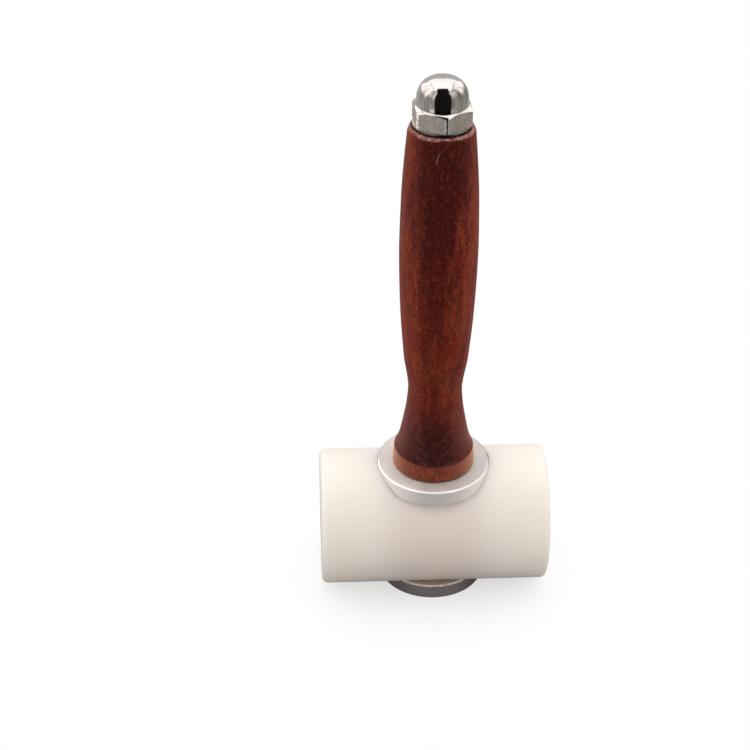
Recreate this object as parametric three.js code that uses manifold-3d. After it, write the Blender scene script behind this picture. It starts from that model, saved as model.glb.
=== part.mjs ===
// Leather carving mallet, in millimetres, +Z up along the handle and +X along the head.
// A nylon head, two aluminium collars and a turned wooden handle are threaded on one long
// countersunk screw, and a cap nut on the end of the handle draws them together.
// The origin is the centre of the lower collar's outer face, on which the mallet stands.
import * as THREE from 'three';
import { mergeVertices } from 'three/addons/utils/BufferGeometryUtils.js';
import Module from 'manifold-3d';

// Head: a nylon bar with a flat round pocket for a collar on top and underneath
const headRadius = 25.5;
const headLength = 85;
const headEdgeRadius = 2;

// Collars: two turned aluminium discs. The lower one is narrower and has a countersink
const upperCollarRadius = 21;
const lowerCollarRadius = 20;
const collarThickness = 6;
const collarChamferWidth = 0.7;
const collarChamferHeight = 0.4;
const collarProud = 0.2;

// Tie screw: M12 with a 90 degree countersunk head and a hexagon socket
const screwRadius = 6;
const threadPitchRadius = 5.43;
const threadLength = 36;
const threadEndChamfer = 1;
const screwHeadRecess = 0.3;
const screwHeadLand = 0.2;
const socketFlats = 8;
const socketDepth = 4.9;

// Handle: turned wood, from its foot on the upper collar to its rounded end under the nut
const handleLength = 140;
const footRadius = 15.2;
const footTopRadius = 14.7;
const footHeight = 7.8;
const footChamfer = 0.7;
const flareRadius = 14.4;
const waistRadius = 9.9;
const waistHeight = 32.5;
const bellyRadius = 13.9;
const bellyHeight = 97;
const gripTopRadius = 11.85;
const endFaceRadius = 9.8;
const endRoundHeight = 4;

// Washer under the cap nut
const washerRadius = 10.1;
const washerThickness = 0.8;

// Cap nut: a chamfered hexagon under a tall dome, with a blind threaded bore
const nutFlats = 19;
const nutHeight = 16.2;
const nutBearingRadius = 9.3;
const bearingChamferAngle = THREE.MathUtils.degToRad(18);
const crownChamferAngle = THREE.MathUtils.degToRad(30);
const crownRadius = 9.05;
const crownHeight = 6.85;
const domeRadius = 8.9;
const domeFlareHeight = 0.4;
const nutBoreDepth = 11.5;
const nutMouthChamfer = 0.6;
const nutRestAngle = THREE.MathUtils.degToRad(5);
const nutTrimOverrun = 0.5;
const drillPointAngle = THREE.MathUtils.degToRad(31);
const threadEngagement = 10.5;

// Clearances between pieces that fit in or over each other
const pocketClearance = 0.2;
const boreClearance = 0.4;
const seatClearance = 0.3;
const threadClearance = 0.3;
const cutOverrun = 5;

// How the round surfaces are divided
const turnSegments = 60;
const headSegments = 72;
const smallSegments = 36;
const arcSteps = 5;
const flareSteps = 3;
const domeSteps = 10;
const domeSquareness = 2.6;

// The outline of the flare and the grip. Each row is a share of the height and a share of the
// radius, on the way from the lower of the two named sections that the stretch joins to the upper.
const flareShares = [[0.11, 0.22], [0.25, 0.42], [0.47, 0.65], [0.7, 0.86]];
const lowerGripShares = [
  [0.07, 0.08], [0.13, 0.23], [0.21, 0.44], [0.31, 0.58], [0.46, 0.76], [0.65, 0.895], [0.84, 0.985],
];
const upperGripShares = [[0.42, 0.22], [0.75, 0.61]];
const gripStepsPerPoint = 2;

// Heights and radii that follow from the sizes above
const headCentreHeight = headRadius + collarProud;
const upperCollarBase = 2 * headCentreHeight - collarThickness;
const handleBase = 2 * headCentreHeight;
const washerBase = handleBase + handleLength;
const nutBase = washerBase + washerThickness;
const screwTop = nutBase + threadEngagement;
const screwHeadRadius = screwRadius + collarThickness - screwHeadRecess - screwHeadLand;
const screwBoreRadius = screwRadius + boreClearance;
const nutCornerRadius = nutFlats / Math.sqrt(3);
const domeFoot = crownHeight + domeFlareHeight;

const wasm = await Module();
wasm.setup();

function point(radius, height) {
  return new THREE.Vector2(radius, height);
}

// Points of an arc in the radius and height plane, angles in degrees from the radius direction
function arc(centreRadius, centreHeight, radius, fromDegrees, toDegrees) {
  const points = [];
  for (let step = 0; step <= arcSteps; step += 1) {
    const angle = THREE.MathUtils.degToRad(fromDegrees + (toDegrees - fromDegrees) * step / arcSteps);
    points.push(point(centreRadius + radius * Math.cos(angle), centreHeight + radius * Math.sin(angle)));
  }
  return points;
}

// A body of revolution about Z. The outline runs up the outside and down the inside.
function turned(outline, segments) {
  return new THREE.LatheGeometry(outline, segments).rotateX(Math.PI / 2);
}

// A closed ring outline returns to its first point
function closed(outline) {
  return [...outline, outline[0].clone()];
}

function hexagonPrism(flats, base, height) {
  const geometry = new THREE.CylinderGeometry(flats / Math.sqrt(3), flats / Math.sqrt(3), height, 6);
  return geometry.rotateX(Math.PI / 2).translate(0, 0, base + height / 2);
}

function cylinder(radius, base, height, segments) {
  return turned([point(0, base), point(radius, base), point(radius, base + height), point(0, base + height)],
    segments);
}

// A closed geometry as a solid, with its shared vertices merged and its empty triangles dropped
function solidOf(geometry) {
  const bare = geometry.clone();
  bare.deleteAttribute('normal');
  bare.deleteAttribute('uv');
  const merged = mergeVertices(bare);
  const index = merged.index.array;
  const triangles = [];
  for (let start = 0; start < index.length; start += 3) {
    const [a, b, c] = index.slice(start, start + 3);
    if (a !== b && b !== c && c !== a) {
      triangles.push(a, b, c);
    }
  }
  return new wasm.Manifold(new wasm.Mesh({
    numProp: 3,
    vertProperties: new Float32Array(merged.attributes.position.array),
    triVerts: new Uint32Array(triangles),
  }));
}

function geometryOf(solid) {
  const mesh = solid.getMesh();
  const geometry = new THREE.BufferGeometry();
  geometry.setAttribute('position', new THREE.BufferAttribute(mesh.vertProperties, 3));
  geometry.setIndex(new THREE.BufferAttribute(mesh.triVerts, 1));
  geometry.computeVertexNormals();
  return geometry;
}

function piece(name, geometry, color, roughness, metalness) {
  const mesh = new THREE.Mesh(geometry, new THREE.MeshStandardMaterial({ color, roughness, metalness }));
  mesh.name = name;
  return mesh;
}

// The nylon bar along X, bored through for the screw, with a pocket for each collar
function makeHead() {
  const half = headLength / 2;
  const shoulder = headRadius - headEdgeRadius;
  const outline = [
    point(0, -half),
    ...arc(shoulder, headEdgeRadius - half, headEdgeRadius, -90, 0),
    ...arc(shoulder, half - headEdgeRadius, headEdgeRadius, 0, 90),
    point(0, half),
  ];
  const bar = new THREE.LatheGeometry(outline, headSegments).rotateZ(-Math.PI / 2);
  bar.translate(0, 0, headCentreHeight);
  const bore = cylinder(screwBoreRadius, -cutOverrun, handleBase + 2 * cutOverrun, smallSegments);
  const pocketHeight = collarThickness + cutOverrun;
  const lowerPocket = cylinder(lowerCollarRadius + pocketClearance, -cutOverrun, pocketHeight, turnSegments);
  const upperPocket = cylinder(upperCollarRadius + pocketClearance, upperCollarBase, pocketHeight,
    turnSegments);
  const solid = solidOf(bar)
    .subtract(solidOf(bore))
    .subtract(solidOf(lowerPocket))
    .subtract(solidOf(upperPocket));
  return piece('head', geometryOf(solid), 0xece4da, 0.45, 0);
}

// The outer wall of a collar, chamfered at both edges
function collarRim(radius, base) {
  return [
    point(radius - collarChamferWidth, base),
    point(radius, base + collarChamferHeight),
    point(radius, base + collarThickness - collarChamferHeight),
    point(radius - collarChamferWidth, base + collarThickness),
  ];
}

// The disc under the handle's foot, with a plain hole for the screw
function makeUpperCollar() {
  const outline = [
    point(screwBoreRadius, upperCollarBase),
    ...collarRim(upperCollarRadius, upperCollarBase),
    point(screwBoreRadius, upperCollarBase + collarThickness),
  ];
  return piece('upper_collar', turned(closed(outline), turnSegments), 0xc9c9cc, 0.35, 1);
}

// The disc that the mallet stands on, countersunk for the screw's head
function makeLowerCollar() {
  const mouthRadius = screwHeadRadius + seatClearance;
  const landTop = screwHeadRecess + screwHeadLand;
  const outline = [
    point(mouthRadius, 0),
    ...collarRim(lowerCollarRadius, 0),
    point(mouthRadius - (collarThickness - landTop), collarThickness),
    point(mouthRadius, landTop),
  ];
  return piece('lower_collar', turned(closed(outline), turnSegments), 0xc9c9cc, 0.35, 1);
}

// The long screw: countersunk head with its socket, shank, and the drawn thread at its end
function makeTieScrew() {
  const headLandTop = screwHeadRecess + screwHeadLand;
  const threadBase = screwTop - threadLength;
  const outline = [
    point(0, screwHeadRecess),
    point(screwHeadRadius, screwHeadRecess),
    point(screwHeadRadius, headLandTop),
    point(screwRadius, collarThickness),
    point(screwRadius, threadBase),
    point(threadPitchRadius, threadBase),
    point(threadPitchRadius, screwTop - threadEndChamfer),
    point(threadPitchRadius - threadEndChamfer, screwTop),
    point(0, screwTop),
  ];
  const socket = hexagonPrism(socketFlats, screwHeadRecess - cutOverrun, socketDepth + cutOverrun);
  const solid = solidOf(turned(outline, smallSegments)).subtract(solidOf(socket));
  return piece('tie_screw', geometryOf(solid), 0x8a8a8c, 0.4, 1);
}

// Points between two sections of the handle, given as shares of the way from one to the other
function between(from, to, shares) {
  return shares.map(([heightShare, radiusShare]) => point(
    THREE.MathUtils.lerp(from.x, to.x, radiusShare),
    THREE.MathUtils.lerp(from.y, to.y, heightShare),
  ));
}

// The turned outside of the handle above its foot, as one smooth curve
function gripCurve() {
  const flare = point(flareRadius, footHeight);
  const waist = point(waistRadius, waistHeight);
  const belly = point(bellyRadius, bellyHeight);
  const gripTop = point(gripTopRadius, handleLength - endRoundHeight);
  const knots = [
    flare,
    ...between(flare, waist, flareShares),
    waist,
    ...between(waist, belly, lowerGripShares),
    belly,
    ...between(belly, gripTop, upperGripShares),
    gripTop,
  ];
  return new THREE.SplineCurve(knots).getPoints((knots.length - 1) * gripStepsPerPoint);
}

// The worn round at the handle's end, a quarter of an ellipse
function endRound() {
  const points = [];
  for (let step = 1; step <= arcSteps; step += 1) {
    const angle = (Math.PI / 2) * step / arcSteps;
    points.push(point(
      endFaceRadius + (gripTopRadius - endFaceRadius) * Math.cos(angle),
      handleLength - endRoundHeight * (1 - Math.sin(angle)),
    ));
  }
  return points;
}

// The wooden handle, bored from end to end for the screw
function makeHandle() {
  const outline = [
    point(screwBoreRadius, 0),
    point(footRadius - footChamfer, 0),
    point(footRadius, footChamfer),
    point(footTopRadius, footHeight),
    ...gripCurve(),
    ...endRound(),
    point(screwBoreRadius, handleLength),
  ];
  const geometry = turned(closed(outline), turnSegments);
  return piece('handle', geometry.translate(0, 0, handleBase), 0x6b2c20, 0.5, 0);
}

// The thin ring that spreads the nut's load on the end grain
function makeNutWasher() {
  const outline = [
    point(screwBoreRadius, washerBase),
    point(washerRadius, washerBase),
    point(washerRadius, washerBase + washerThickness),
    point(screwBoreRadius, washerBase + washerThickness),
  ];
  return piece('nut_washer', turned(closed(outline), smallSegments), 0x77777a, 0.45, 1);
}

// The hollow round that joins the hexagon's crown to the dome, a quarter of an ellipse
function domeFlare() {
  const points = [];
  for (let step = 0; step < flareSteps; step += 1) {
    const angle = (Math.PI / 2) * step / flareSteps;
    points.push(point(
      crownRadius - (crownRadius - domeRadius) * Math.sin(angle),
      domeFoot - domeFlareHeight * Math.cos(angle),
    ));
  }
  return points;
}

// The dome's outline from its foot to its top, a little squarer than an ellipse
function domeOutline() {
  const points = [];
  const rise = nutHeight - domeFoot;
  for (let step = 0; step <= domeSteps; step += 1) {
    const angle = (Math.PI / 2) * step / domeSteps;
    points.push(point(
      step === domeSteps ? 0 : domeRadius * Math.cos(angle) ** (2 / domeSquareness),
      domeFoot + rise * Math.sin(angle) ** (2 / domeSquareness),
    ));
  }
  return points;
}

// The cap nut: a hexagon trimmed by a turned envelope that holds its chamfers and dome
function makeCapNut() {
  const bearingSlope = Math.tan(bearingChamferAngle);
  const crownSlope = Math.tan(crownChamferAngle);
  const envelopeRadius = nutCornerRadius + nutTrimOverrun;
  const envelope = turned([
    point(0, 0),
    point(nutBearingRadius, 0),
    point(envelopeRadius, (envelopeRadius - nutBearingRadius) * bearingSlope),
    point(envelopeRadius, crownHeight - (envelopeRadius - crownRadius) * crownSlope),
    ...domeFlare(),
    ...domeOutline(),
  ], turnSegments);
  const boreRadius = threadPitchRadius + threadClearance;
  const bore = turned([
    point(0, -cutOverrun),
    point(boreRadius + nutMouthChamfer, -cutOverrun),
    point(boreRadius + nutMouthChamfer, 0),
    point(boreRadius, nutMouthChamfer),
    point(boreRadius, nutBoreDepth),
    point(0, nutBoreDepth + boreRadius * Math.tan(drillPointAngle)),
  ], smallSegments);
  const solid = solidOf(hexagonPrism(nutFlats, 0, nutHeight))
    .intersect(solidOf(envelope))
    .subtract(solidOf(bore));
  const geometry = geometryOf(solid).rotateZ(nutRestAngle).translate(0, 0, nutBase);
  return piece('cap_nut', geometry, 0xc4bfb8, 0.15, 1);
}

const mallet = new THREE.Group();
mallet.add(
  makeLowerCollar(),
  makeHead(),
  makeUpperCollar(),
  makeTieScrew(),
  makeHandle(),
  makeNutWasher(),
  makeCapNut(),
);

export default mallet;
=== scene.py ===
import math

import bmesh
import bpy
from mathutils import Matrix, Vector, noise


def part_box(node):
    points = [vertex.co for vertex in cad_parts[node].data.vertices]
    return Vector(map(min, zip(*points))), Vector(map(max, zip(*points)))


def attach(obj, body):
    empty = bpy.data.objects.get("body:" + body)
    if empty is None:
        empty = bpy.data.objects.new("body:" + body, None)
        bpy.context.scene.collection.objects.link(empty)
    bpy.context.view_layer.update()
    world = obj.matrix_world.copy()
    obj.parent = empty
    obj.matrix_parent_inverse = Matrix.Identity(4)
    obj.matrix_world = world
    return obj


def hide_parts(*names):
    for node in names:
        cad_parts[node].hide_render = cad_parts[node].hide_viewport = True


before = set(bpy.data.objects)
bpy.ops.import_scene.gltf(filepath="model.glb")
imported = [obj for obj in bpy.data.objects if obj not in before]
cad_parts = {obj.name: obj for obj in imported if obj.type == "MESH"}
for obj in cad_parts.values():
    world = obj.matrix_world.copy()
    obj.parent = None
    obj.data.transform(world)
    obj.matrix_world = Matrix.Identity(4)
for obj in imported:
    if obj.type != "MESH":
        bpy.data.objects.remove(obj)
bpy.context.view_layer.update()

# Camera
# It stands in front of the mallet and above it, where the photograph was taken from. Its place,
# tilt and lens come from fitting the outlines of the cap nut, handle, collars and head.
MM = 0.001
camera_aim = Vector((-22.04, 0, 90.11)) * MM
camera_distance = 710.3 * MM
camera_azimuth = math.radians(-2.755)
camera_elevation = math.radians(34.285)
camera_roll = math.radians(0.295)
lens_over_image_width = 2.6034

camera_data = bpy.data.cameras.new("photo_camera")
camera_data.lens = lens_over_image_width * camera_data.sensor_width
camera_data.clip_start = 0.05
camera_data.clip_end = 20
camera = bpy.data.objects.new("photo_camera", camera_data)
bpy.context.scene.collection.objects.link(camera)
bpy.context.scene.camera = camera
camera_back = Vector((
    math.sin(camera_azimuth) * math.cos(camera_elevation),
    -math.cos(camera_azimuth) * math.cos(camera_elevation),
    math.sin(camera_elevation),
))
level_right = Vector((math.cos(camera_azimuth), math.sin(camera_azimuth), 0))
level_up = camera_back.cross(level_right)
camera_right = level_right * math.cos(camera_roll) + level_up * math.sin(camera_roll)
camera_up = camera_back.cross(camera_right)
camera_turn = Matrix((camera_right, camera_up, camera_back)).transposed()
camera_place = camera_aim + camera_back * camera_distance
camera.matrix_world = Matrix.Translation(camera_place) @ camera_turn.to_4x4()

# Lower collar
# The disc that the mallet stands on: turned from aluminium bar, faced and chamfered at both
# edges, and countersunk for the screw's head. It sits in the pocket under the head.
lower_low, lower_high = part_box("lower_collar")
collar_thickness = lower_high.z - lower_low.z
chamfer_width = 0.7 * MM
chamfer_height = 0.4 * MM
edge_break = 0.08 * MM
collar_steps = 240
screw_low, screw_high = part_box("tie_screw")
countersink_mouth = 11.8 * MM
countersink_land = 0.5 * MM


def softened(corners, steps=4):
    """The outline through (radius, height, rounding) corners, each rounded by that much."""
    outline = []
    for before, corner, after in zip(corners[-1:] + corners[:-1], corners, corners[1:] + corners[:1]):
        here = Vector(corner[:2])
        if corner[2] == 0:
            outline.append(tuple(here))
            continue
        start = here + (Vector(before[:2]) - here).normalized() * corner[2]
        end = here + (Vector(after[:2]) - here).normalized() * corner[2]
        for step in range(steps + 1):
            share = step / steps
            outline.append(tuple(start.lerp(here, share).lerp(here.lerp(end, share), share)))
    return outline


def skin(name, rings, first_pole=None, last_pole=None):
    """A closed mesh over rings of points, from pole to pole, or round again with no poles."""
    count = len(rings[0])
    points = [point for ring in rings for point in ring]
    joined = list(range(len(rings) - 1)) if first_pole is not None else list(range(len(rings)))
    faces = []
    for row in joined:
        here = row * count
        above = (row + 1) % len(rings) * count
        for step in range(count):
            beside = (step + 1) % count
            faces.append((here + step, here + beside, above + beside, above + step))
    if first_pole is not None:
        last_row = (len(rings) - 1) * count
        points += [first_pole, last_pole]
        for step in range(count):
            beside = (step + 1) % count
            faces.append((len(points) - 2, beside, step))
            faces.append((last_row + step, last_row + beside, len(points) - 1))
    mesh = bpy.data.meshes.new(name)
    mesh.from_pydata(points, [], faces)
    piece = bpy.data.objects.new(name, mesh)
    bpy.context.scene.collection.objects.link(piece)
    return piece


def ring(radius, height, steps):
    """A ring of points about the handle's axis. The radius may follow the angle."""
    points = []
    for step in range(steps):
        angle = 2 * math.pi * step / steps - math.pi / 2
        reach = radius(angle) if callable(radius) else radius
        points.append(Vector((reach * math.cos(angle), reach * math.sin(angle), height)))
    return points


def turned(name, outline, steps):
    """A turned body with a hole through it: outline runs up the outside and down the inside."""
    return skin(name, [ring(radius, height, steps) for radius, height in outline])


def smooth_faces(piece, sharp_degrees=35):
    """Smooth shading that keeps edges sharper than the given angle, with flat faces kept flat."""
    piece.data.shade_smooth()
    piece.data.set_sharp_from_angle(angle=math.radians(sharp_degrees))
    weighted = piece.modifiers.new("flat_faces", "WEIGHTED_NORMAL")
    weighted.keep_sharp = True


def collar_rim(radius, base):
    """The outer wall of a collar, with a shallow chamfer at both edges."""
    top = base + collar_thickness
    return [
        (radius - chamfer_width, base, edge_break),
        (radius, base + chamfer_height, edge_break),
        (radius, top - chamfer_height, edge_break),
        (radius - chamfer_width, top, edge_break),
    ]


class Value:
    """An output of a shader node. Arithmetic on it adds the Math nodes that work it out."""

    def __init__(self, finish, socket):
        self.finish = finish
        self.socket = socket

    def math(self, operation, *values):
        return self.finish.node("ShaderNodeMath", {"operation": operation}, dict(enumerate(values)))

    def __add__(self, other):
        return self.math("ADD", self, other)

    def __radd__(self, other):
        return self.math("ADD", other, self)

    def __sub__(self, other):
        return self.math("SUBTRACT", self, other)

    def __rsub__(self, other):
        return self.math("SUBTRACT", other, self)

    def __mul__(self, other):
        return self.math("MULTIPLY", self, other)

    def __rmul__(self, other):
        return self.math("MULTIPLY", other, self)

    def __truediv__(self, other):
        return self.math("DIVIDE", self, other)

    def __pow__(self, other):
        return self.math("POWER", self, other)

    def __abs__(self):
        return self.math("ABSOLUTE", self)

    def rising(self, low, high):
        """0 up to low, 1 from high on, and a smooth step between."""
        return self.finish.node(
            "ShaderNodeMapRange", {"interpolation_type": "SMOOTHSTEP"},
            {"Value": self, "From Min": low, "From Max": high})


class Finish:
    """A material with one Principled shader. Its nodes are added by node()."""

    def __init__(self, name, **constants):
        self.material = bpy.data.materials.new(name)
        self.material.use_nodes = True
        self.tree = self.material.node_tree
        self.shader = self.tree.nodes["Principled BSDF"]
        for socket, value in constants.items():
            self.shader.inputs[socket.replace("_", " ")].default_value = value

    def node(self, kind, settings=None, sockets=None, output=0):
        """Adds a node with its settings, then the values or links of its sockets."""
        node = self.tree.nodes.new(kind)
        for name, value in (settings or {}).items():
            setattr(node, name, value)
        for name, value in (sockets or {}).items():
            if isinstance(value, Value):
                self.tree.links.new(value.socket, node.inputs[name])
            else:
                node.inputs[name].default_value = value
        return Value(self, node.outputs[output])

    def place(self):
        """The point on the piece, in millimetres."""
        point = self.node("ShaderNodeTexCoord", output="Object")
        return self.node("ShaderNodeVectorMath", {"operation": "SCALE"}, {"Vector": point, "Scale": 1 / MM})

    def part_of(self, vector, axis):
        return self.node("ShaderNodeSeparateXYZ", sockets={"Vector": vector}, output=axis)

    def stretched(self, vector, *scales):
        return self.node("ShaderNodeVectorMath", {"operation": "MULTIPLY"}, {0: vector, 1: scales})

    def grain(self, vector, scale, detail=4, roughness=0.5):
        """Noise from 0 to 1 over a vector in millimetres, scale in waves per millimetre."""
        return self.node("ShaderNodeTexNoise", sockets={
            "Vector": vector, "Scale": scale, "Detail": detail, "Roughness": roughness})

    def mix(self, share, first, second):
        """A colour, share of the way from the first to the second."""
        return self.node("ShaderNodeMix", {"data_type": "RGBA"}, {0: share, 6: first, 7: second}, 2)

    def layered(self, colour, *layers):
        """A colour with layers over it, each one a share and a colour, the last on top."""
        for share, over in layers:
            colour = self.mix(share, colour, over)
        return colour

    def feed(self, **sockets):
        """Links values to the shader's sockets, underscores standing for spaces."""
        for name, value in sockets.items():
            self.tree.links.new(value.socket, self.shader.inputs[name.replace("_", " ")])

    def bump(self, height, depth):
        """Raises the surface by height, from 0 to 1, times depth in metres."""
        raised = self.node("ShaderNodeBump", sockets={"Height": height, "Distance": depth}, output="Normal")
        self.feed(Normal=raised)

    def reach(self, place):
        """The distance of a place from the handle's axis."""
        across = self.part_of(place, "X")
        along = self.part_of(place, "Y")
        return (across * across + along * along) ** 0.5

    def upward(self):
        """How far the surface faces up or down, from 0 to 1."""
        normal = self.node("ShaderNodeNewGeometry", output="Normal")
        return abs(self.part_of(normal, "Z"))


def turned_aluminium():
    """Turned aluminium: satin faces and walls with the tool's fine rings, and chamfers with a painted
    highlight.
    The lower collar's wall carries painted shade, darker towards its ends, and its upper face a painted
    reflection of the nylon; the face that it stands on is left out."""
    finish = Finish("turned_aluminium", Anisotropic=0.6, Anisotropic_Rotation=0.25)
    place = finish.place()
    along = finish.part_of(place, "X")
    height = finish.part_of(place, "Z")
    lower_top = collar_thickness / MM

    # Where on a collar this is: its flat faces, chamfers or wall, and the lower collar
    upward = finish.upward()
    facing = upward.rising(0.5, 0.8)
    bright = upward.rising(0.3, 0.5) * (1 - upward.rising(0.93, 0.97))
    wall = (1 - facing) * (1 - bright)
    low = height.rising(lower_top + 14, lower_top) * (1 - facing * height.rising(1.5, 0.5))

    # The tool's rings run about the faces and round the wall
    tool_path = finish.reach(place) * facing + height * (1 - facing)
    path = finish.node("ShaderNodeCombineXYZ", sockets={"X": tool_path})
    fine = finish.grain(path, 5.0, detail=3, roughness=0.7)
    coarse = finish.grain(path, 0.9, detail=1)
    cloud = finish.grain(finish.stretched(place, -0.09, 0.09, 0.09), 1.0, detail=3)
    specks = finish.grain(place, 1.6, detail=2).rising(0.60, 0.75)
    mottle = finish.grain(place, 0.8, detail=3, roughness=0.65)
    tone = (fine * 0.22 + coarse * 0.13 + cloud * 0.4 + mottle * 0.25).rising(0.36, 0.64)

    # Painted highlight on the chamfers, strongest along the front and weaker on the lower collar, and
    # painted shade on the right of the upper face
    less_highlight_low = low * (0.5 + mottle.rising(0.44, 0.56) * 0.5)
    front_highlight = finish.part_of(place, "Y").rising(2.0, -14.0) * (1 - less_highlight_low)
    painted_shade_right = facing * height.rising(40.0, 50.0) * (along + mottle * 6).rising(8.0, 20.0)
    clean = finish.layered(
        finish.mix(tone, (0.65, 0.605, 0.575, 1), (0.89, 0.84, 0.795, 1)),
        (wall * 0.75, (1.0, 0.94, 0.915, 1)),
        (bright * (0.3 + front_highlight * 0.7), (0.96, 0.93, 0.91, 1)),
        (painted_shade_right * 0.4, (0.58, 0.55, 0.535, 1)))
    # Painted shade on the lower collar's wall, darker towards its ends, and a brown painted reflection of
    # the nylon on its upper face
    ends = abs(along).rising(4.0, 16.0) * (1 - facing)
    painted_shade_and_reflection = finish.layered(
        finish.mix(ends, (0.36, 0.33, 0.34, 1), (0.16, 0.115, 0.115, 1)),
        (facing * height.rising(3.0, 5.0), (0.60, 0.43, 0.32, 1)))
    finish.feed(
        Base_Color=finish.mix(low * (1 - bright) * 0.74, clean, painted_shade_and_reflection),
        Metallic=0.76 - facing * 0.04 - wall * (1 - low) * 0.12 - bright * front_highlight * 0.6,
        Roughness=(0.34 + tone * 0.15 + specks * 0.1 + facing * 0.2) * (1 - bright * 0.8))
    finish.bump(fine * 0.7 + coarse * 0.3, 0.012 * MM)
    return finish.material


aluminium = turned_aluminium()

lower_collar = turned("turned_lower_collar", softened([
    (countersink_mouth, 0, edge_break),
    *collar_rim(lower_high.x, 0),
    (countersink_mouth - (collar_thickness - countersink_land), collar_thickness, edge_break),
    (countersink_mouth, countersink_land, edge_break),
]), collar_steps)
smooth_faces(lower_collar)
lower_collar.data.materials.append(aluminium)
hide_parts("lower_collar")
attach(lower_collar, "mallet")

# Head
# A length of milky nylon bar with rounded ends, bored across for the screw. A flat-bottomed
# round pocket is cut into its top and its underside for the collars.
head_low, head_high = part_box("head")
upper_low, upper_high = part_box("upper_collar")
head_radius = (head_high.z - head_low.z) / 2
head_centre = (head_high.z + head_low.z) / 2
head_edge = 2 * MM
head_steps = 256
head_edge_steps = 8
pocket_clearance = 0.04 * MM
screw_bore = 6.4 * MM
pocket_edge_break = 0.15 * MM
cut_overrun = 5 * MM


def make_head():
    """The bar lies along X: its rings are laid about Z and then tipped over."""
    half = head_high.x
    outline = []
    for step in range(head_edge_steps + 1):
        angle = math.pi / 2 * step / head_edge_steps
        outline.append((
            head_radius - head_edge * (1 - math.sin(angle)),
            -half + head_edge * (1 - math.cos(angle)),
        ))
    outline += [(radius, -height) for radius, height in reversed(outline)]
    rings = [ring(radius, height, head_steps) for radius, height in outline]
    bar = skin("nylon_head", rings, Vector((0, 0, -half)), Vector((0, 0, half)))
    lie_down = Matrix.Rotation(math.pi / 2, 4, "Y")
    bar.data.transform(Matrix.Translation((0, 0, head_centre)) @ lie_down)
    return bar


def cut_round(piece, radius, low, high):
    """Cuts a round hole about the handle's axis into a piece, from one height to another."""
    rings = [ring(radius, low, collar_steps), ring(radius, high, collar_steps)]
    cutter = skin("cutter", rings, Vector((0, 0, low)), Vector((0, 0, high)))
    cut = piece.modifiers.new("cut", "BOOLEAN")
    cut.operation = "DIFFERENCE"
    cut.solver = "EXACT"
    cut.object = cutter
    depsgraph = bpy.context.evaluated_depsgraph_get()
    cut_mesh = bpy.data.meshes.new_from_object(piece.evaluated_get(depsgraph))
    piece.modifiers.clear()
    piece.data = cut_mesh
    bpy.data.objects.remove(cutter)


def break_edges(piece, width, sharp_degrees, steps=2):
    """Takes the sharpness off every edge that bends more than the given angle."""
    shape = bmesh.new()
    shape.from_mesh(piece.data)
    sharp = [edge for edge in shape.edges
             if edge.is_manifold and edge.calc_face_angle() > math.radians(sharp_degrees)]
    bmesh.ops.bevel(shape, geom=sharp, offset=width, segments=steps, profile=0.5,
                    affect="EDGES", clamp_overlap=True)
    shape.to_mesh(piece.data)
    shape.free()


def milky_nylon():
    """Milky nylon: soft sheen, light that sinks in a little, a few specks under the surface, and painted
    shade in the middle of the bar.
    """
    finish = Finish(
        "milky_nylon", Subsurface_Weight=0.5, Subsurface_Scale=10 * MM, Subsurface_Radius=(1.0, 0.85, 0.7),
        IOR=1.53)
    place = finish.place()
    cloud = finish.grain(place, 0.05, detail=3)
    turning = finish.grain(finish.stretched(place, 3.0, 0.02, 0.02), 1.0, detail=2)
    pits = finish.grain(place, 1.4, detail=1).rising(0.76, 0.8)

    # Painted shade darkens the middle of the bar below its top, where the collars and the screw inside take
    # light away
    painted_shade_middle = abs(finish.part_of(place, "X")).rising(26.0, 8.0)
    painted_shade_middle = painted_shade_middle * finish.part_of(place, "Z").rising(49.0, 43.0)
    finish.feed(
        Base_Color=finish.layered(
            finish.mix(cloud, (0.895, 0.815, 0.74, 1), (0.925, 0.855, 0.785, 1)),
            (painted_shade_middle * 0.85, (0.79, 0.69, 0.62, 1)),
            (pits * 0.35, (0.55, 0.47, 0.40, 1))),
        Roughness=0.36 + cloud * 0.1 + turning * 0.06)
    finish.bump(finish.grain(place, 0.8, detail=4) * 0.5 + turning * 0.5 - pits * 0.6, 0.02 * MM)
    return finish.material


head = make_head()
cut_round(head, screw_bore, head_low.z - cut_overrun, head_high.z + cut_overrun)
cut_round(head, lower_high.x + pocket_clearance, head_low.z - cut_overrun, lower_high.z)
cut_round(head, upper_high.x + pocket_clearance, upper_low.z, head_high.z + cut_overrun)
break_edges(head, pocket_edge_break, 30)
smooth_faces(head)
head.data.materials.append(milky_nylon())
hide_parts("head")
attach(head, "mallet")

# Upper collar
# A wider disc of the same make with a plain hole, in the pocket on top of the head. The handle's
# foot stands on it, and the screw passes through.
upper_collar = turned("turned_upper_collar", softened([
    (screw_bore, upper_low.z, edge_break),
    *collar_rim(upper_high.x, upper_low.z),
    (screw_bore, upper_high.z, edge_break),
]), collar_steps)
smooth_faces(upper_collar)
upper_collar.data.materials.append(aluminium)
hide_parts("upper_collar")
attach(upper_collar, "mallet")

# Tie screw
# One long M12 screw with a countersunk head and a hexagon socket, rolled from zinc-plated
# steel. It lies in the lower collar and runs up through everything to the cap nut.
screw_head_radius = screw_high.x
screw_head_land = 0.2 * MM
screw_shank = 6 * MM
thread_pitch = 1.75 * MM
thread_crest = 5.9 * MM
thread_root = 5.0 * MM
thread_length = 36 * MM
thread_rows_in_pitch = 14
thread_fullness = 1.9
thread_steepness = 4.2
thread_end_chamfer = 1 * MM
socket_flats = 8 * MM
socket_depth = 4.9 * MM
socket_mouth_chamfer = 0.4 * MM
screw_steps = 72
hexagon_sides = 6


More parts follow.
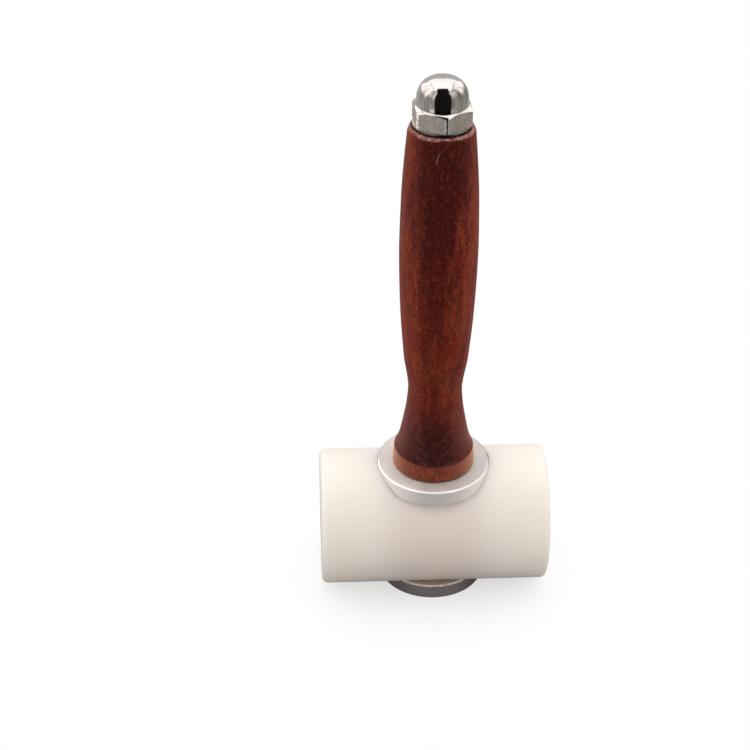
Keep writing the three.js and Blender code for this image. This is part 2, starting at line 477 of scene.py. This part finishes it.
def hexagon(flats, rounding=0):
    """The radius of a hexagon at each angle, with a corner towards the front, corners rounded."""
    side = 2 * math.pi / hexagon_sides

    def radius(angle):
        off_side = (angle + math.pi / 2) % side - side / 2
        sharp = flats / 2 / math.cos(off_side)
        off_corner = side / 2 - abs(off_side)
        if sharp * math.sin(off_corner) > rounding / 2:
            return sharp
        centre = (flats / 2 - rounding) / math.cos(side / 2)
        sideways = centre * math.sin(off_corner)
        return centre * math.cos(off_corner) + math.sqrt(rounding ** 2 - sideways ** 2)

    return radius


def thread_rings(low, high, root, crest, steps):
    """Rings that carry a right-hand thread, which fades in and out over its first and last turn."""
    rings = []
    row_count = round((high - low) / thread_pitch * thread_rows_in_pitch)
    for row in range(row_count + 1):
        height = low + (high - low) * row / row_count
        fade = min(1, max(0, (height - low) / thread_pitch), max(0, (high - height) / thread_pitch))

        def radius(angle, height=height, fade=fade):
            phase = (height / thread_pitch - angle / (2 * math.pi)) % 1
            ridge = min(1, max(0, thread_fullness - thread_steepness * abs(phase - 0.5)))
            return root + (crest - root) * ridge * fade

        rings.append(ring(radius, height, steps))
    return rings


def zinc_steel():
    """Dull zinc-plated steel, clouded and finely scratched."""
    finish = Finish("zinc_steel", Metallic=1.0)
    place = finish.place()
    cloud = finish.grain(place, 0.35, detail=5, roughness=0.6)
    scratch = finish.grain(finish.stretched(place, 1.0, 6.0, 0.4), 1.5, detail=2)
    finish.feed(
        Base_Color=finish.mix(cloud, (0.38, 0.38, 0.40, 1), (0.55, 0.55, 0.56, 1)),
        Roughness=0.3 + cloud * 0.2 + scratch * 0.1)
    finish.bump(cloud * 0.5 + scratch * 0.5, 0.01 * MM)
    return finish.material


socket_radius = hexagon(socket_flats)
thread_low = screw_high.z - thread_length
screw_rings = [
    ring(socket_radius, screw_low.z + socket_depth, screw_steps),
    ring(socket_radius, screw_low.z + socket_mouth_chamfer, screw_steps),
    ring(lambda angle: max(socket_radius(angle), socket_flats / 2 + socket_mouth_chamfer),
         screw_low.z, screw_steps),
    ring(screw_head_radius - edge_break, screw_low.z, screw_steps),
    ring(screw_head_radius, screw_low.z + edge_break, screw_steps),
    ring(screw_head_radius, screw_low.z + screw_head_land, screw_steps),
    ring(screw_shank, collar_thickness, screw_steps),
    ring(screw_shank, thread_low - thread_end_chamfer, screw_steps),
    *thread_rings(thread_low, screw_high.z, thread_root, thread_crest, screw_steps),
]
tie_screw = skin(
    "countersunk_tie_screw", screw_rings,
    Vector((0, 0, screw_low.z + socket_depth)), Vector((0, 0, screw_high.z)))
smooth_faces(tie_screw, 25)
tie_screw.data.materials.append(zinc_steel())
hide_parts("tie_screw")
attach(tie_screw, "mallet")

# Handle
# Turned from one piece of hardwood, bored from end to end, stained red-brown and oiled. The
# stain is thin on the foot and rubbed pale round the edge of the end that the nut bears on, where
# a painted highlight lies over the wear. Painted shade runs down its middle front and back, and
# painted light along its flanks.
handle_low, handle_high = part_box("handle")
foot_radius = 15.2 * MM
foot_top_radius = 14.7 * MM
foot_height = 7.8 * MM
foot_chamfer = 0.7 * MM
foot_groove = 0.3 * MM
flare_radius = 14.4 * MM
waist_radius = 9.9 * MM
waist_height = 32.5 * MM
belly_radius = 13.9 * MM
belly_height = 97 * MM
grip_top_radius = 11.85 * MM
end_face_radius = 9.8 * MM
end_round_height = 4 * MM
flare_shares = [(0.11, 0.22), (0.25, 0.42), (0.47, 0.65), (0.7, 0.86)]
lower_grip_shares = [
    (0.07, 0.08), (0.13, 0.23), (0.21, 0.44), (0.31, 0.58), (0.46, 0.76), (0.65, 0.895), (0.84, 0.985)]
upper_grip_shares = [(0.42, 0.22), (0.75, 0.61)]
knot_steps = 10
end_round_steps = 10
handle_steps = 192
hand_wobble = 0.12 * MM
wobbles_around = 2
wobble_length = 30 * MM
wobble_bias = 0.3


def between(low, high, shares):
    """Points given as shares of the height and of the radius, from one section to another."""
    return [(low[0] + (high[0] - low[0]) * radius_share, low[1] + (high[1] - low[1]) * height_share)
            for height_share, radius_share in shares]


def through(knots, steps):
    """A smooth curve through the knots, with even steps between each two of them."""
    ends = [knots[0], *knots, knots[-1]]
    curve = [Vector(knots[0])]
    for a, b, c, d in zip(ends, ends[1:], ends[2:], ends[3:]):
        a, b, c, d = Vector(a), Vector(b), Vector(c), Vector(d)
        for step in range(1, steps + 1):
            t = step / steps
            bend = 2 * a - 5 * b + 4 * c - d + t * (3 * b - a - 3 * c + d)
            curve.append(b + 0.5 * t * (c - a + t * bend))
    return [tuple(point) for point in curve]


def handle_outline():
    """The handle's outline from its foot to its end, then down its bore."""
    length = handle_high.z - handle_low.z
    flare = (flare_radius, foot_height)
    waist = (waist_radius, waist_height)
    belly = (belly_radius, belly_height)
    grip_top = (grip_top_radius, length - end_round_height)
    knots = [
        flare, *between(flare, waist, flare_shares), waist, *between(waist, belly, lower_grip_shares),
        belly, *between(belly, grip_top, upper_grip_shares), grip_top]
    foot = softened([
        (screw_bore, 0, 0),
        (foot_radius - foot_chamfer, 0, edge_break),
        (foot_radius, foot_chamfer, 3 * edge_break),
        (foot_top_radius, foot_height - foot_groove, edge_break),
        (foot_top_radius - foot_groove, foot_height, 0),
    ])
    end_round = []
    for step in range(1, end_round_steps + 1):
        angle = math.pi / 2 * step / end_round_steps
        end_round.append((
            end_face_radius + (grip_top_radius - end_face_radius) * math.cos(angle),
            length - end_round_height * (1 - math.sin(angle)),
        ))
    return [*foot, *through(knots, knot_steps), *end_round, (screw_bore, length)]


def make_handle():
    """The outline turned about the axis, a little uneven as hand-sanded wood is."""
    rings = []
    for radius, height in handle_outline():
        def uneven(angle, radius=radius, height=height):
            if radius == screw_bore:
                return radius
            spot = Vector((
                wobbles_around * math.cos(angle), wobbles_around * math.sin(angle),
                height / wobble_length))
            return radius + hand_wobble * (noise.noise(spot) - wobble_bias)

        rings.append(ring(uneven, handle_low.z + height, handle_steps))
    return skin("turned_wood_handle", rings)


class StainedWood(Finish):
    """Red-brown stained hardwood. Heights are in millimetres above the handle's foot."""

    def __init__(self):
        super().__init__("stained_wood", IOR=1.45, Specular_IOR_Level=0.06)
        self.spot = self.place()
        self.across = self.part_of(self.spot, "X")
        self.height = self.part_of(self.spot, "Z") - handle_low.z / MM
        self.bands = self.along_grain(0.34, 0.035, detail=2)
        self.patches = self.along_grain(0.22, 0.07, detail=3)
        self.blotches = self.along_grain(0.55, 0.22, detail=4, roughness=0.65)
        self.streaks = self.along_grain(0.9, 0.13, detail=4, roughness=0.7)
        self.flecks = self.along_grain(2.0, 0.6, detail=3, roughness=0.7)
        self.motes = self.along_grain(0.9, 0.5, detail=3, roughness=0.6)
        self.specks = self.along_grain(1.7, 0.9, detail=4, roughness=0.75)
        self.mottle = self.grain(self.spot, 0.35, detail=4, roughness=0.6)
        self.flare_area = 1 - (self.height + self.mottle * 12).rising(18.0, 42.0)

    def along_grain(self, across, along, **noise_settings):
        """Noise drawn out along the handle, its two scales in waves per millimetre."""
        return self.grain(self.stretched(self.spot, across, across, along), 1.0, **noise_settings)

    def figure(self):
        """Dark down the middle, where the grip faces front and back, as painted shade over the dark wood,
        and red and orange flanks as painted light, then bands, streaks and specks.
        """
        # Painted shade where the grip faces front and back, painted light on its flanks
        lean = self.height.rising(125.0, 85.0) * 1.8
        flank_light = abs(self.across + lean) / self.reach(self.spot)
        ragged = (self.patches - 0.5) * 0.6 + (self.streaks - 0.5) * 0.9 + (self.specks - 0.5) * 0.3
        paler = self.height.rising(110.0, 36.0) * self.height.rising(12.0, 32.0)
        darker_top = self.height.rising(92.0, 124.0)
        lit_side_share = (flank_light + ragged + paler * 0.12 - darker_top * 0.24).rising(0.26, 0.76)
        plain_heart = self.height.rising(84.0, 116.0) * (1 - lit_side_share)
        deeper_ends = 1 - self.height.rising(34.0, 60.0) * self.height.rising(126.0, 104.0)
        heart = self.mix(paler, (0.066, 0.0058, 0.0034, 1), (0.145, 0.0135, 0.0055, 1))
        sides = self.mix(self.patches.rising(0.38, 0.62), (0.215, 0.020, 0.009, 1), (0.235, 0.033, 0.011, 1))
        return self.layered(
            self.mix(lit_side_share, heart, sides),
            (self.bands.rising(0.52, 0.66) * (1 - plain_heart) * 0.42, (0.27, 0.042, 0.012, 1)),
            (self.bands.rising(0.48, 0.34) * 0.5, (0.050, 0.0045, 0.0035, 1)),
            (self.flecks.rising(0.54, 0.72) * (0.05 + lit_side_share * 0.5), (0.56, 0.14, 0.055, 1)),
            (self.streaks.rising(0.50, 0.34) * 0.45, (0.062, 0.0060, 0.0040, 1)),
            (self.specks.rising(0.56, 0.38) * 0.5, (0.030, 0.0035, 0.0030, 1)),
            (self.specks.rising(0.50, 0.70) * (0.22 + lit_side_share * 0.1), (0.26, 0.06, 0.042, 1)),
            (deeper_ends * 0.15, (0.050, 0.0055, 0.0045, 1)))

    def dusted(self, wood):
        """The flare above the foot made darker, with pale dust rubbed into it, and light and dark motes all
        over.
        """
        dust_marks = self.flare_area * self.mottle.rising(0.50, 0.66) * self.motes.rising(0.42, 0.60)
        light_mote = self.mix(self.flare_area, (0.25, 0.046, 0.018, 1), (0.17, 0.058, 0.048, 1))
        dark_mote = self.mix(
            self.patches.rising(0.4, 0.6), (0.022, 0.0030, 0.0022, 1), (0.040, 0.0050, 0.0085, 1))
        return self.layered(
            wood,
            (self.flare_area * 0.72, (0.034, 0.0095, 0.0098, 1)),
            (dust_marks * 0.12, (0.22, 0.10, 0.095, 1)),
            (self.motes.rising(0.52, 0.70) * (0.32 - self.flare_area * 0.1), light_mote),
            (self.motes.rising(0.48, 0.32) * 0.42, dark_mote))

    def thin_at_foot(self, wood):
        """Blotched, thinly stained wood on the foot, up to a ragged dark line of thicker stain.
        A painted sheen makes the wood paler where it turns away, and painted shade makes it dark where the
        foot meets the collar."""
        foot_top = foot_height / MM
        stain_edge = self.height + self.specks * 1.6 - 0.8
        foot = 1 - stain_edge.rising(foot_top - 0.9, foot_top - 0.4)
        thick_stain = stain_edge.rising(foot_top - 1.6, foot_top - 0.5) * foot
        thin_stain = self.mix(
            (self.blotches * 0.5 + self.flecks * 0.5).rising(0.34, 0.64),
            (0.085, 0.012, 0.007, 1), (0.26, 0.057, 0.027, 1))
        edge = self.node("ShaderNodeLayerWeight", sockets={"Blend": 0.5}, output="Facing") ** 2
        return self.layered(
            wood,
            (foot * 0.92, thin_stain),
            (thick_stain * 0.6, (0.035, 0.005, 0.004, 1)),
            # Painted sheen where the wood turns away, all over the handle and most on the flare and the foot
            (edge * (0.2 + self.flare_area * 0.4 + foot * 0.7),
             self.mix(foot, (0.47, 0.18, 0.145, 1), (0.60, 0.28, 0.18, 1))),
            # Painted shade where the foot meets the collar
            (self.height.rising(0.9, 0.4) * 0.85, (0.020, 0.004, 0.003, 1)))

    def at_top(self, wood):
        """A curved scratch in front, pale wear under a painted highlight round the end's edge, and dark end
        grain above it, deepened by painted shadow from the washer.
        """
        drift = abs(self.across + 2.4 - (self.height - 131.2) ** 2 * 0.07)
        scratch = drift.rising(0.34, 0.1) * self.part_of(self.spot, "Y").rising(0.0, -1.0)
        scratch = scratch * self.height.rising(130.2, 131.6) * self.height.rising(136.0, 134.6)
        length = (handle_high.z - handle_low.z) / MM
        end_grain_and_shadow = (self.height + (self.mottle - 0.5) * 0.4).rising(length - 0.42, length - 0.1)
        uneven = (self.mottle - 0.5) * 1.2 + (self.specks - 0.5) * 0.5 + abs(self.across) * 0.06
        # Pale wear round the end's edge, with a painted highlight on it, and dark end grain with painted
        # shadow under the washer
        rubbed_and_highlight = (self.height + uneven).rising(length - 1.15, length - 0.55) * (1 - end_grain_and_shadow)
        return self.layered(
            wood,
            (scratch * 0.45, (0.30, 0.15, 0.15, 1)),
            (rubbed_and_highlight * (0.15 + self.blotches.rising(0.36, 0.60) * 0.85), (0.40, 0.195, 0.165, 1)),
            (end_grain_and_shadow * 0.85, (0.010, 0.0020, 0.0015, 1)))


def stained_wood():
    """The handle's wood with its foot, dust and wear and its painted light and shade, oiled to a low sheen.
    """
    finish = StainedWood()
    finish.feed(
        Base_Color=finish.at_top(finish.thin_at_foot(finish.dusted(finish.figure()))),
        Roughness=0.42 + finish.mottle * 0.2)
    finish.bump(finish.flecks * 0.5 + finish.specks * 0.5, 0.06 * MM)
    return finish.material


handle = make_handle()
smooth_faces(handle)
handle.data.materials.append(stained_wood())
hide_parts("handle")
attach(handle, "mallet")

# Nut washer
# A thin steel ring, stamped, between the cap nut and the end grain. Its wall, painted dark as
# shade, shows as a line under the nut, and its upper edge has a painted highlight.
washer_low, washer_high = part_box("nut_washer")
washer_edge = 0.15 * MM


def steel_with_painted_light():
    """Stamped steel, painted dark on its wall as shade and painted bright as a highlight where it faces
    upward.
    """
    finish = Finish("steel_with_painted_light", Metallic=1.0)
    place = finish.place()
    cloud = finish.grain(place, 0.6, detail=4, roughness=0.6)
    shaded_wall = finish.mix(cloud, (0.07, 0.06, 0.06, 1), (0.16, 0.14, 0.13, 1))
    # Painted highlight where the washer faces upward, over painted shade on its wall
    at_top = (finish.upward() + cloud * 0.4).rising(0.4, 0.9)
    finish.feed(
        Base_Color=finish.mix(at_top, shaded_wall, (0.72, 0.66, 0.62, 1)),
        Roughness=0.32 + cloud * 0.25)
    finish.bump(cloud, 0.01 * MM)
    return finish.material


nut_washer = turned("stamped_nut_washer", softened([
    (screw_bore, washer_low.z, washer_edge),
    (washer_high.x, washer_low.z, washer_edge),
    (washer_high.x, washer_high.z, washer_edge),
    (screw_bore, washer_high.z, washer_edge),
]), screw_steps)
smooth_faces(nut_washer)
nut_washer.data.materials.append(steel_with_painted_light())
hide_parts("nut_washer")
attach(nut_washer, "washer")

# Cap nut
# Machined from hexagon bar and plated: satin flats, a bright chamfer at each end of them and a
# polished dome. Its blind bore carries the thread that the screw runs in.
nut_low, nut_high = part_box("cap_nut")
nut_height = nut_high.z - nut_low.z
nut_flats = 19 * MM
nut_turn = math.radians(5)
nut_bearing = 9.3 * MM
bearing_slope = math.tan(math.radians(18))
crown_slope = math.tan(math.radians(30))
crown_radius = 9.05 * MM
crown_height = 6.85 * MM
dome_radius = 8.9 * MM
dome_foot = 7.25 * MM
dome_squareness = 2.6
flare_steps = 5
dome_steps = 36
nut_bore_depth = 11.5 * MM
nut_thread_root = 6.05 * MM
nut_thread_crest = 5.15 * MM
nut_drill_rise = 3.2 * MM
nut_corner_round = 0.9 * MM
nut_edge_break = 0.15 * MM
nut_steps = 360


def nut_rings():
    """Rings from the end of the bore down to its mouth, then up the outside to the dome."""
    flat_radius = hexagon(nut_flats, nut_corner_round)
    thread = thread_rings(
        nut_low.z, nut_low.z + nut_bore_depth, nut_thread_root, nut_thread_crest, nut_steps)
    rings = [*reversed(thread), ring(nut_thread_root + edge_break, nut_low.z, nut_steps)]
    rings.append(ring(nut_bearing, nut_low.z, nut_steps))
    cones = [(0, nut_bearing, bearing_slope), (crown_height, crown_radius, -crown_slope)]
    for height, start, slope in cones:
        trimmed = ring(flat_radius, nut_low.z + height, nut_steps)
        for point in trimmed:
            point.z += slope * (math.hypot(point.x, point.y) - start)
        rings.append(trimmed)
    for step in range(flare_steps):
        angle = math.pi / 2 * step / flare_steps
        rings.append(ring(
            crown_radius - (crown_radius - dome_radius) * math.sin(angle),
            nut_low.z + dome_foot - (dome_foot - crown_height) * math.cos(angle), nut_steps))
    rise = nut_height - dome_foot
    for step in range(dome_steps):
        angle = math.pi / 2 * step / dome_steps
        rings.append(ring(
            dome_radius * math.cos(angle) ** (2 / dome_squareness),
            nut_low.z + dome_foot + rise * math.sin(angle) ** (2 / dome_squareness), nut_steps))
    return rings


def plated_steel():
    """Nickel plate over steel: a polished dome and chamfers, and satin, grainy flats. The
    corners on the left carry pale chips, partly scuffs and partly a painted highlight."""
    finish = Finish("plated_steel")
    place = finish.place()
    height = finish.part_of(place, "Z") - nut_low.z / MM
    upright = 1 - finish.upward().rising(0.05, 0.15)
    flats = upright * (1 - height.rising(crown_height / MM - 0.3, crown_height / MM))
    corners = finish.reach(place).rising(10.5, 10.7)
    satin_share = flats * (1 - corners)
    cloud = finish.grain(place, 0.4, detail=3)
    pebbles = finish.grain(place, 2.2, detail=3, roughness=0.7) * 0.65 + cloud * 0.35
    pebbles = pebbles.rising(0.34, 0.66)
    polish = finish.mix(cloud, (0.60, 0.575, 0.55, 1), (0.68, 0.66, 0.64, 1))
    satin = finish.mix(pebbles, (0.40, 0.35, 0.305, 1), (0.83, 0.755, 0.68, 1))
    chips = finish.grain(place, 0.9, detail=2).rising(0.42, 0.5)
    # Pale chips on the left corners: partly scuffs, partly a painted highlight
    scuffs_and_highlight = corners * flats * chips * finish.part_of(place, "X").rising(0.5, 0.3)
    finish.feed(
        Base_Color=finish.layered(polish, (satin_share, satin), (scuffs_and_highlight, (0.95, 0.92, 0.88, 1))),
        Metallic=1 - scuffs_and_highlight * 0.9,
        Roughness=0.06 + cloud * 0.04 + satin_share * (0.2 + pebbles * 0.12) + scuffs_and_highlight * 0.4)
    finish.bump(pebbles * flats, 0.03 * MM)
    return finish.material


cap_nut = skin(
    "plated_cap_nut", nut_rings(),
    Vector((0, 0, nut_low.z + nut_bore_depth + nut_drill_rise)), Vector((0, 0, nut_high.z)))
break_edges(cap_nut, nut_edge_break, 50)
cap_nut.data.transform(Matrix.Rotation(nut_turn, 4, "Z"))
smooth_faces(cap_nut)
cap_nut.data.materials.append(plated_steel())
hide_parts("cap_nut")
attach(cap_nut, "nut")

# Floor and light
# A plain white floor that keeps the mallet's shadow, and soft light from above and both sides.
# Cards that only reflections see stand for a light tent: walls and a back that brighten upward,
# a bright roof, a grey floor, and in front the black opening, which tapers off under the roof.
floor_half = 4.0
plain_from = 0.02
plain_to = 0.10
shadow_share = 0.4
bounce_colour = (0.35, 0.34, 0.33, 1)
floor_colour = (0.95, 0.95, 0.95, 1)
white = (1, 1, 1, 1)
cloth_white = (1, 0.93, 0.88)
smooth_white = (1, 0.98, 0.97)
tent_left = -0.4
tent_right = 0.4
tent_front = -0.45
tent_back = 0.7
tent_roof = 0.95
card_gap = 0.5 * MM
left_wall_join = -0.05
right_wall_join = 0.0
seam_inset = 0.005
seam_low = 0.86
seam_high = 0.91
opening_left = -0.35
opening_right = 0.28
opening_top_right = 0.36
opening_glow = 0.01
roof_glow = 1.6
taper_left = -0.24
taper_right = 0.19
taper_back = 0.03
light_aim = Vector((0, 0, 0.1))
world_strength = 0.93


def seen_directly(tree):
    """1 for the camera's rays and for what metal and glass show, 0 for light that bounces."""
    path = tree.nodes.new("ShaderNodeLightPath")
    first = tree.nodes.new("ShaderNodeMath")
    second = tree.nodes.new("ShaderNodeMath")
    for node in (first, second):
        node.operation = "MAXIMUM"
    tree.links.new(path.outputs["Is Camera Ray"], first.inputs[0])
    tree.links.new(path.outputs["Is Glossy Ray"], first.inputs[1])
    tree.links.new(first.outputs[0], second.inputs[0])
    tree.links.new(path.outputs["Is Transmission Ray"], second.inputs[1])
    return second.outputs[0]


def stage_sheet(name, corners, material):
    """A flat four-cornered sheet that belongs to the studio, not to the mallet."""
    mesh = bpy.data.meshes.new(name)
    mesh.from_pydata(corners, [], [(0, 1, 2, 3)])
    mesh.materials.append(material)
    sheet = bpy.data.objects.new(name, mesh)
    bpy.context.scene.collection.objects.link(sheet)
    return sheet


def make_floor():
    """White floor. Near the mallet it keeps a share of the shadow, and further out it is plain."""
    finish = Finish("white_floor", Roughness=0.9, Specular_IOR_Level=0.2)
    place = finish.node("ShaderNodeTexCoord", output="Object")
    seen = Value(finish, seen_directly(finish.tree))
    plain = (1 - (1 - finish.reach(place).rising(plain_from, plain_to)) * shadow_share) * seen
    finish.feed(Base_Color=finish.mix(seen, bounce_colour, floor_colour))
    glow = finish.node("ShaderNodeEmission", sockets={"Color": white, "Strength": 1.0})
    lit = Value(finish, finish.shader.outputs[0])
    shown = finish.node("ShaderNodeMixShader", sockets={0: plain, 1: lit, 2: glow})
    finish.tree.links.new(shown.socket, finish.tree.nodes["Material Output"].inputs["Surface"])
    stage_sheet("floor", [
        (-floor_half, -floor_half, 0), (floor_half, -floor_half, 0),
        (floor_half, floor_half, 0), (-floor_half, floor_half, 0)], finish.material)


def make_card(name, corners, glow, over=(0, 1), axis="Z", folds=0):
    """A card that only reflections see, with folds as cloth has. Its glow goes from one value
    to another over two places on an axis, or outward from the mallet where the axis is None."""
    finish = Finish(name)
    place = finish.node("ShaderNodeTexCoord", output="Object")
    distance = finish.part_of(place, axis) if axis else finish.reach(place)
    cloth = finish.grain(finish.stretched(place, 14.0, 14.0, 1.5), 1.0, detail=3)
    strength = distance.rising(*over) * (glow[1] - glow[0]) + glow[0]
    strength = strength * ((cloth.rising(0.3, 0.7) - 0.5) * folds + 1)
    colour = finish.node("ShaderNodeVectorMath", {"operation": "SCALE"}, {
        "Vector": cloth_white if folds else smooth_white, "Scale": strength})
    shine = finish.node("ShaderNodeEmission", sockets={"Color": colour})
    finish.tree.links.new(shine.socket, finish.tree.nodes["Material Output"].inputs["Surface"])
    card = stage_sheet(name, corners, finish.material)
    card.visible_camera = False
    card.visible_diffuse = False
    card.visible_shadow = False
    card.visible_transmission = False


def upright_card(name, start, end, glow, bottom=0, top=tent_roof, **light):
    """A card that stands upright from one point of the floor's plan to another."""
    make_card(name, [(*start, bottom), (*end, bottom), (*end, top), (*start, top)], glow, **light)


def level_card(name, near, far, height, glow, **light):
    """A card that lies level between two edges, each given as left x, right x and y."""
    make_card(name, [
        (near[0], near[2], height), (near[1], near[2], height),
        (far[1], far[2], height), (far[0], far[2], height)], glow, **light)


def make_walls():
    """The tent's two walls, in two lengths each, its back and the narrow front walls."""
    upright_card(
        "left_front_card", (tent_left, tent_front), (tent_left, left_wall_join),
        glow=(0.36, 1.0), over=(0.25, 0.5), folds=1.1)
    upright_card(
        "left_card", (tent_left, left_wall_join), (tent_left, tent_back),
        glow=(0.54, 1.5), over=(0.2, 0.34), folds=1.1)
    upright_card(
        "right_front_card", (tent_right, tent_front), (tent_right, right_wall_join),
        glow=(0.28, 0.8), over=(0.3, 0.6), folds=0.9)
    upright_card(
        "right_card", (tent_right, right_wall_join), (tent_right, tent_back),
        glow=(0.32, 1.5), over=(0.2, 0.4), folds=0.9)
    upright_card(
        "back_card", (tent_left, tent_back), (tent_right, tent_back),
        glow=(0.6, 1.5), over=(0.54, 0.66))
    for name, start, end in [
            ("left_edge_card", tent_left, opening_left),
            ("right_edge_card", opening_right, tent_right)]:
        upright_card(name, (start, tent_front), (end, tent_front), glow=(0.22, 1.1), over=(0.5, 0.9))


def make_seams():
    """The dim seams of the tent's cloth, high on both walls."""
    for name, side in [
            ("left_seam_card", tent_left + seam_inset),
            ("right_seam_card", tent_right - seam_inset)]:
        upright_card(name, (side, 0), (side, tent_back), glow=(0.12, 0.12), bottom=seam_low, top=seam_high)


def make_roof_and_floor():
    """The roof, dimmer in front, and the floor, brighter away from the mallet and on its left."""
    level_card(
        "roof_card", (tent_left, tent_right, tent_front), (tent_left, tent_right, tent_back), tent_roof,
        glow=(0.5, roof_glow), over=(-0.3, -0.1), axis="Y")
    level_card(
        "floor_card", (tent_left, tent_right, tent_front), (tent_left, tent_right, tent_back), card_gap,
        glow=(0.1, 0.45), over=(0.024, 0.09), axis=None)
    level_card(
        "left_floor_card", (tent_left, -0.16, -0.36), (tent_left, -0.16, 0.2), 2 * card_gap,
        glow=(0.8, 0.8))


def make_opening():
    """The black opening that the camera looks in through, and the dark roof and floor by it."""
    inside = tent_front + card_gap
    make_card(
        "opening_card", [
            (opening_left, inside, 0), (opening_right, inside, 0),
            (opening_top_right, inside, tent_roof), (tent_left, inside, tent_roof)],
        glow=(opening_glow, opening_glow))
    level_card(
        "opening_roof_card", (tent_left, opening_top_right, tent_front),
        (taper_left, taper_right, taper_back), tent_roof - card_gap,
        glow=(opening_glow, roof_glow), over=(-0.06, taper_back), axis="Y")
    level_card(
        "opening_floor_card", (opening_left, opening_right, tent_front), (-0.12, 0.1, -0.16), 3 * card_gap,
        glow=(0, 0))


def soft_light(name, place, width, height, power):
    """A broad lamp aimed at the mallet. Metal shows the cards instead of it."""
    data = bpy.data.lights.new(name, "AREA")
    data.shape = "RECTANGLE"
    data.size = width
    data.size_y = height
    data.energy = power
    light = bpy.data.objects.new(name, data)
    light.location = place
    light.rotation_euler = (light_aim - Vector(place)).to_track_quat("-Z", "Y").to_euler()
    light.visible_glossy = False
    bpy.context.scene.collection.objects.link(light)


def light_world():
    """An even soft light, and plain white where the camera and the metal look past the floor."""
    world = bpy.data.worlds.new("studio")
    bpy.context.scene.world = world
    world.use_nodes = True
    tree = world.node_tree
    soft = tree.nodes["Background"]
    soft.inputs["Color"].default_value = white
    soft.inputs["Strength"].default_value = world_strength
    plain = tree.nodes.new("ShaderNodeBackground")
    plain.inputs["Color"].default_value = white
    plain.inputs["Strength"].default_value = 1.0
    mixed = tree.nodes.new("ShaderNodeMixShader")
    tree.links.new(seen_directly(tree), mixed.inputs[0])
    tree.links.new(soft.outputs[0], mixed.inputs[1])
    tree.links.new(plain.outputs[0], mixed.inputs[2])
    tree.links.new(mixed.outputs[0], tree.nodes["World Output"].inputs["Surface"])


make_floor()
make_walls()
make_seams()
make_roof_and_floor()
make_opening()
light_world()
soft_light("roof_light", (0, 0.25, 1.0), width=1.0, height=1.0, power=1.2)
soft_light("left_light", (-0.7, 0.1, 0.5), width=0.9, height=0.7, power=1.6)
soft_light("right_light", (0.7, 0.1, 0.5), width=0.9, height=0.7, power=1.6)
bpy.context.scene.view_settings.view_transform = "Standard"
